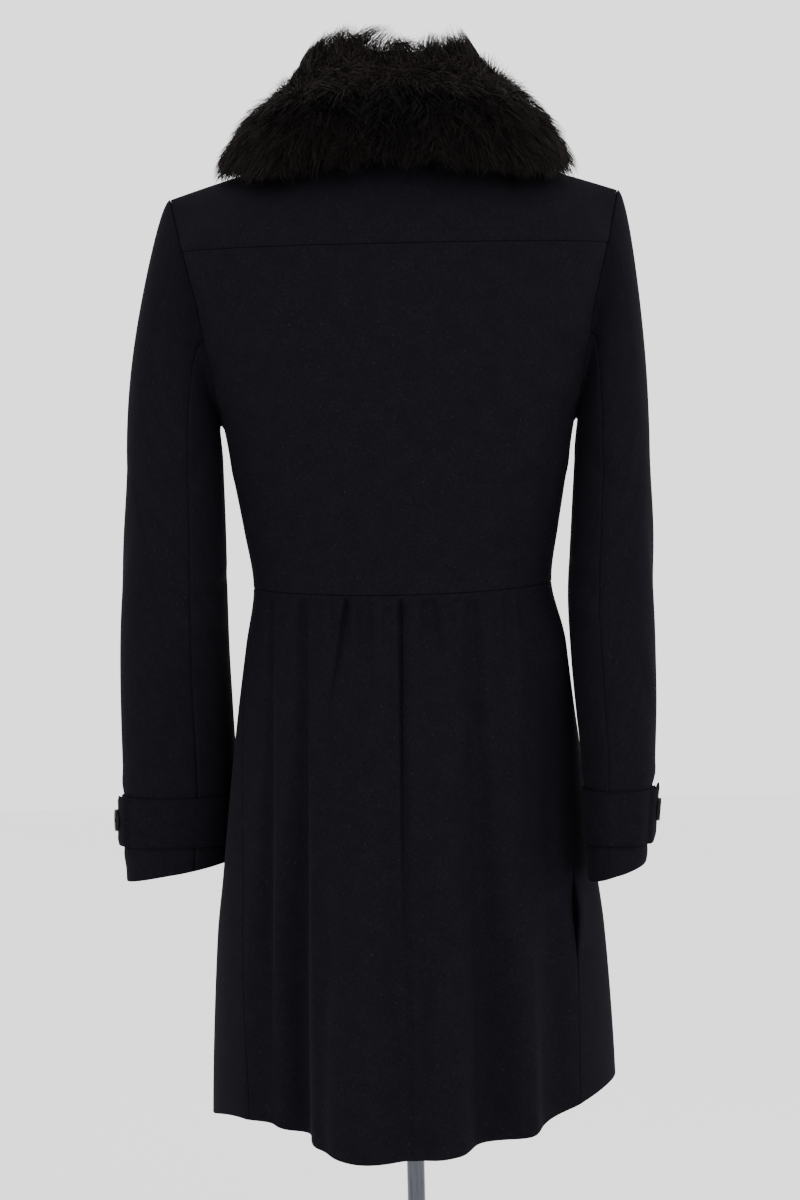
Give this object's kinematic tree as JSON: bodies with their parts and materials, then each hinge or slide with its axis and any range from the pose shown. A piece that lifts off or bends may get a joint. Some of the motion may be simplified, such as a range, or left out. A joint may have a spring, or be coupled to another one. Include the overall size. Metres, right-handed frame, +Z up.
{
  "type": "wool coat on a dress form",
  "caption": "Thigh-length fitted wool coat with a fur collar, pleated skirt and buttoned cuff straps, shown on a limbless dress form with a steel pole and a round base.",
  "frame": {"origin": "floor_rest, on the floor at the pole's axis", "axes": "+Z up, the coat's front faces -Y, the wearer's left is +X"},
  "size_m": [0.4969, 0.349, 1.5012],
  "materials": {
    "wool": "smooth milled wool, very dark navy black, matte with a low sheen",
    "fur": "dense dark brown-black fur with glossy spiky guard hairs",
    "button": "polished black, sewn through holes",
    "form_cover": "plain stretched linen",
    "wood": "satin varnish",
    "steel": "bright satin"
  },
  "bodies": {
    "root": {"back_yoke": "wool", "back_bodice": "wool", "back_skirt": "wool", "front_bodice_left": "wool", "front_bodice_right": "wool", "front_skirt_left": "wool", "front_skirt_right": "wool", "sleeve_top_left": "wool", "sleeve_top_right": "wool", "sleeve_under_left": "wool", "sleeve_under_right": "wool", "sleeve_strap_left": "wool", "sleeve_strap_right": "wool", "collar_stand": "wool", "front_button_1": "button", "front_button_2": "button", "front_button_3": "button", "front_button_4": "button", "front_button_5": "button", "strap_button_left": "button", "strap_button_right": "button", "fur_collar": "fur", "form_torso": "form_cover", "form_neck_cap": "wood", "stand_pole": "steel", "stand_base": "steel"}
  },
  "joints": []
}
